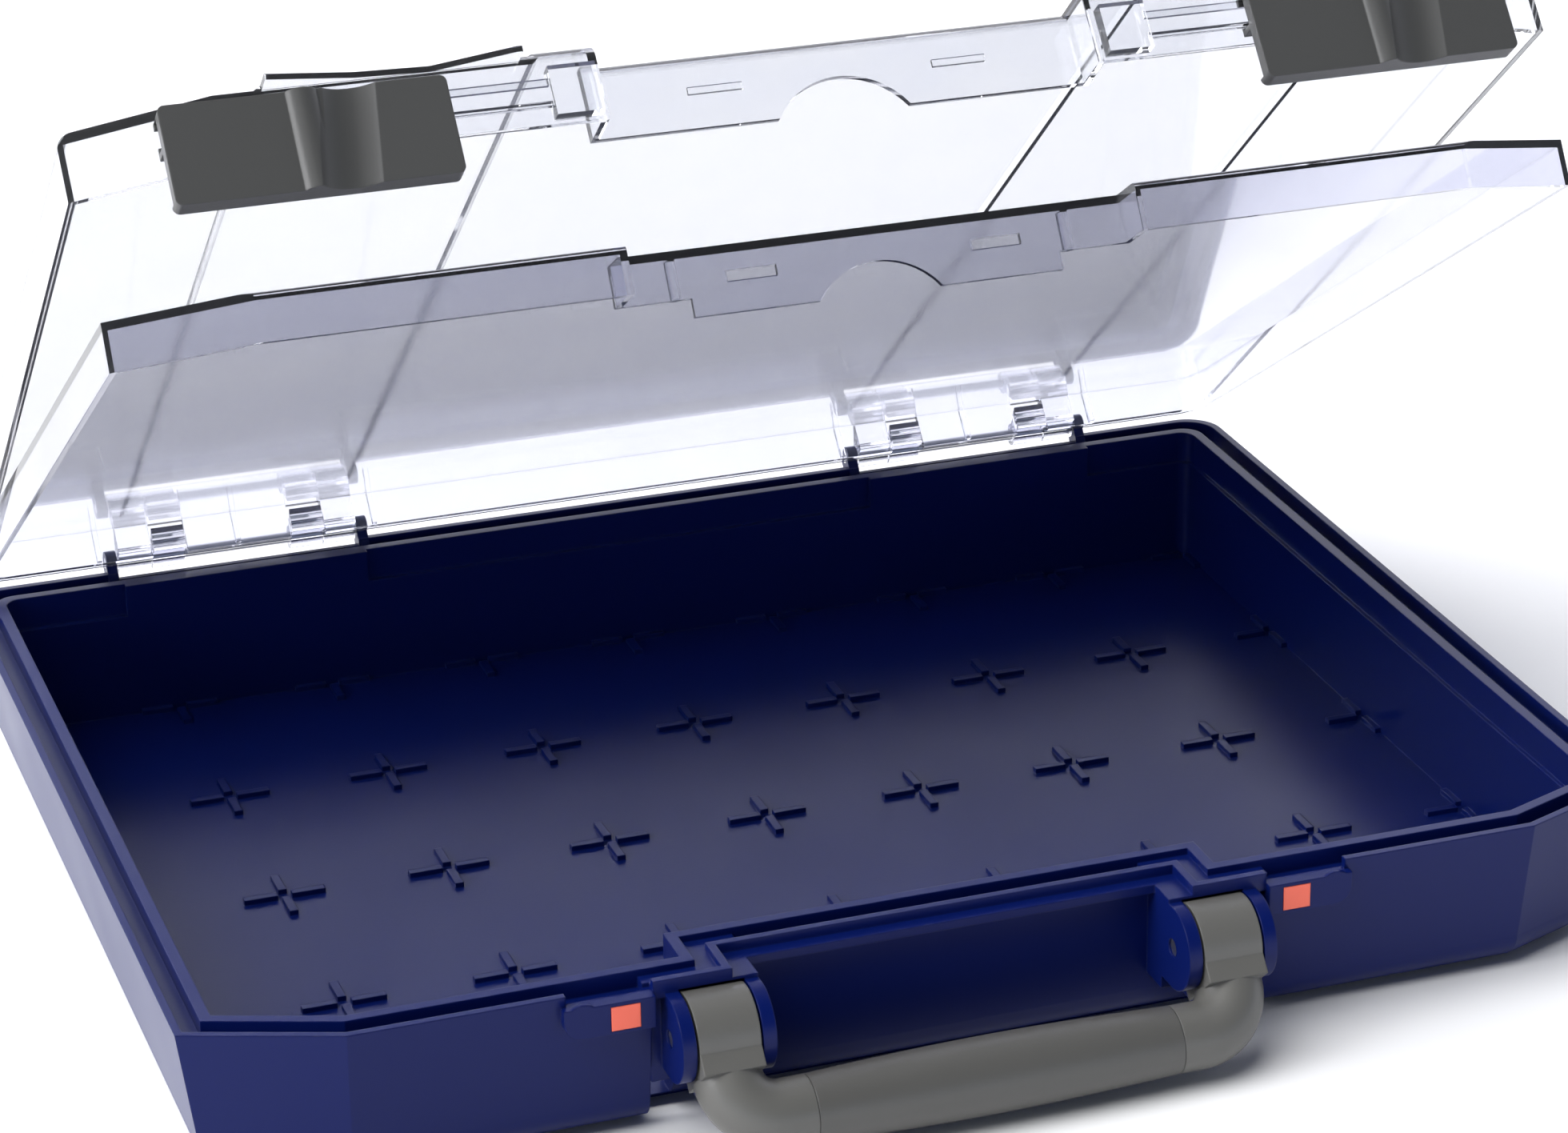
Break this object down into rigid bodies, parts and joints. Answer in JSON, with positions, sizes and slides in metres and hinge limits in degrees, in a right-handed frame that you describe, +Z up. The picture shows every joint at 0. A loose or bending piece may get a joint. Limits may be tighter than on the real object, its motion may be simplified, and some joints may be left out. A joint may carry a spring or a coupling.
{
  "type": "saw blade storage case",
  "caption": "Flat carrying case with a deep tray, a clear inner lid, a clear outer lid with sliding latches, and a folding front handle.",
  "frame": {"origin": "centre of the tray's plan on its underside, where the case stands on a table", "axes": "+Z up, +X along the long side to the right, -Y towards the handle and latches, +Y towards the lid hinges"},
  "size_m": [0.333, 0.2833, 0.2184],
  "materials": {
    "tray_plastic": "semi-gloss moulded",
    "mark_plastic": "matt",
    "steel": "drawn",
    "clear_plastic": "clear, polished",
    "tinted_plastic": "clear, polished",
    "latch_plastic": "fine grain",
    "handle_plastic": "fine grain",
    "grip_plastic": "soft, fine grain"
  },
  "bodies": {
    "base": {"base_tray": "tray_plastic", "lock_mark_left": "mark_plastic", "lock_mark_right": "mark_plastic", "hinge_wire_left": "steel", "hinge_wire_right": "steel", "handle_pin_left": "steel", "handle_pin_right": "steel"},
    "outer_lid_body": {"outer_lid": "clear_plastic"},
    "inner_lid_body": {"inner_lid": "tinted_plastic"},
    "latch_left_body": {"latch_left": "latch_plastic"},
    "latch_right_body": {"latch_right": "latch_plastic"},
    "handle": {"handle_frame": "handle_plastic", "handle_grip": "grip_plastic"}
  },
  "joints": [
    {"name": "outer_lid_hinge", "type": "hinge", "parent": "base", "child": "outer_lid_body", "pos_m": [0, 0.1282, 0.039], "axis": [-1, 0, 0], "range_deg": [-41, 69]},
    {"name": "inner_lid_hinge", "type": "hinge", "parent": "base", "child": "inner_lid_body", "pos_m": [0, 0.1282, 0.039], "axis": [-1, 0, 0], "range_deg": [-32.5, 55]},
    {"name": "latch_left_slide", "type": "slide", "parent": "outer_lid_body", "child": "latch_left_body", "axis": [1, 0, 0], "range_m": [0, 0.02]},
    {"name": "latch_right_slide", "type": "slide", "parent": "outer_lid_body", "child": "latch_right_body", "axis": [-1, 0, 0], "range_m": [0, 0.02]},
    {"name": "handle_hinge", "type": "hinge", "parent": "base", "child": "handle", "pos_m": [0, -0.12845, 0.025], "axis": [-1, 0, 0], "range_deg": [0, 70]}
  ],
  "couplings": [
    {"joint": "inner_lid_hinge", "follows": "outer_lid_hinge", "ratio": 0.79267}
  ]
}
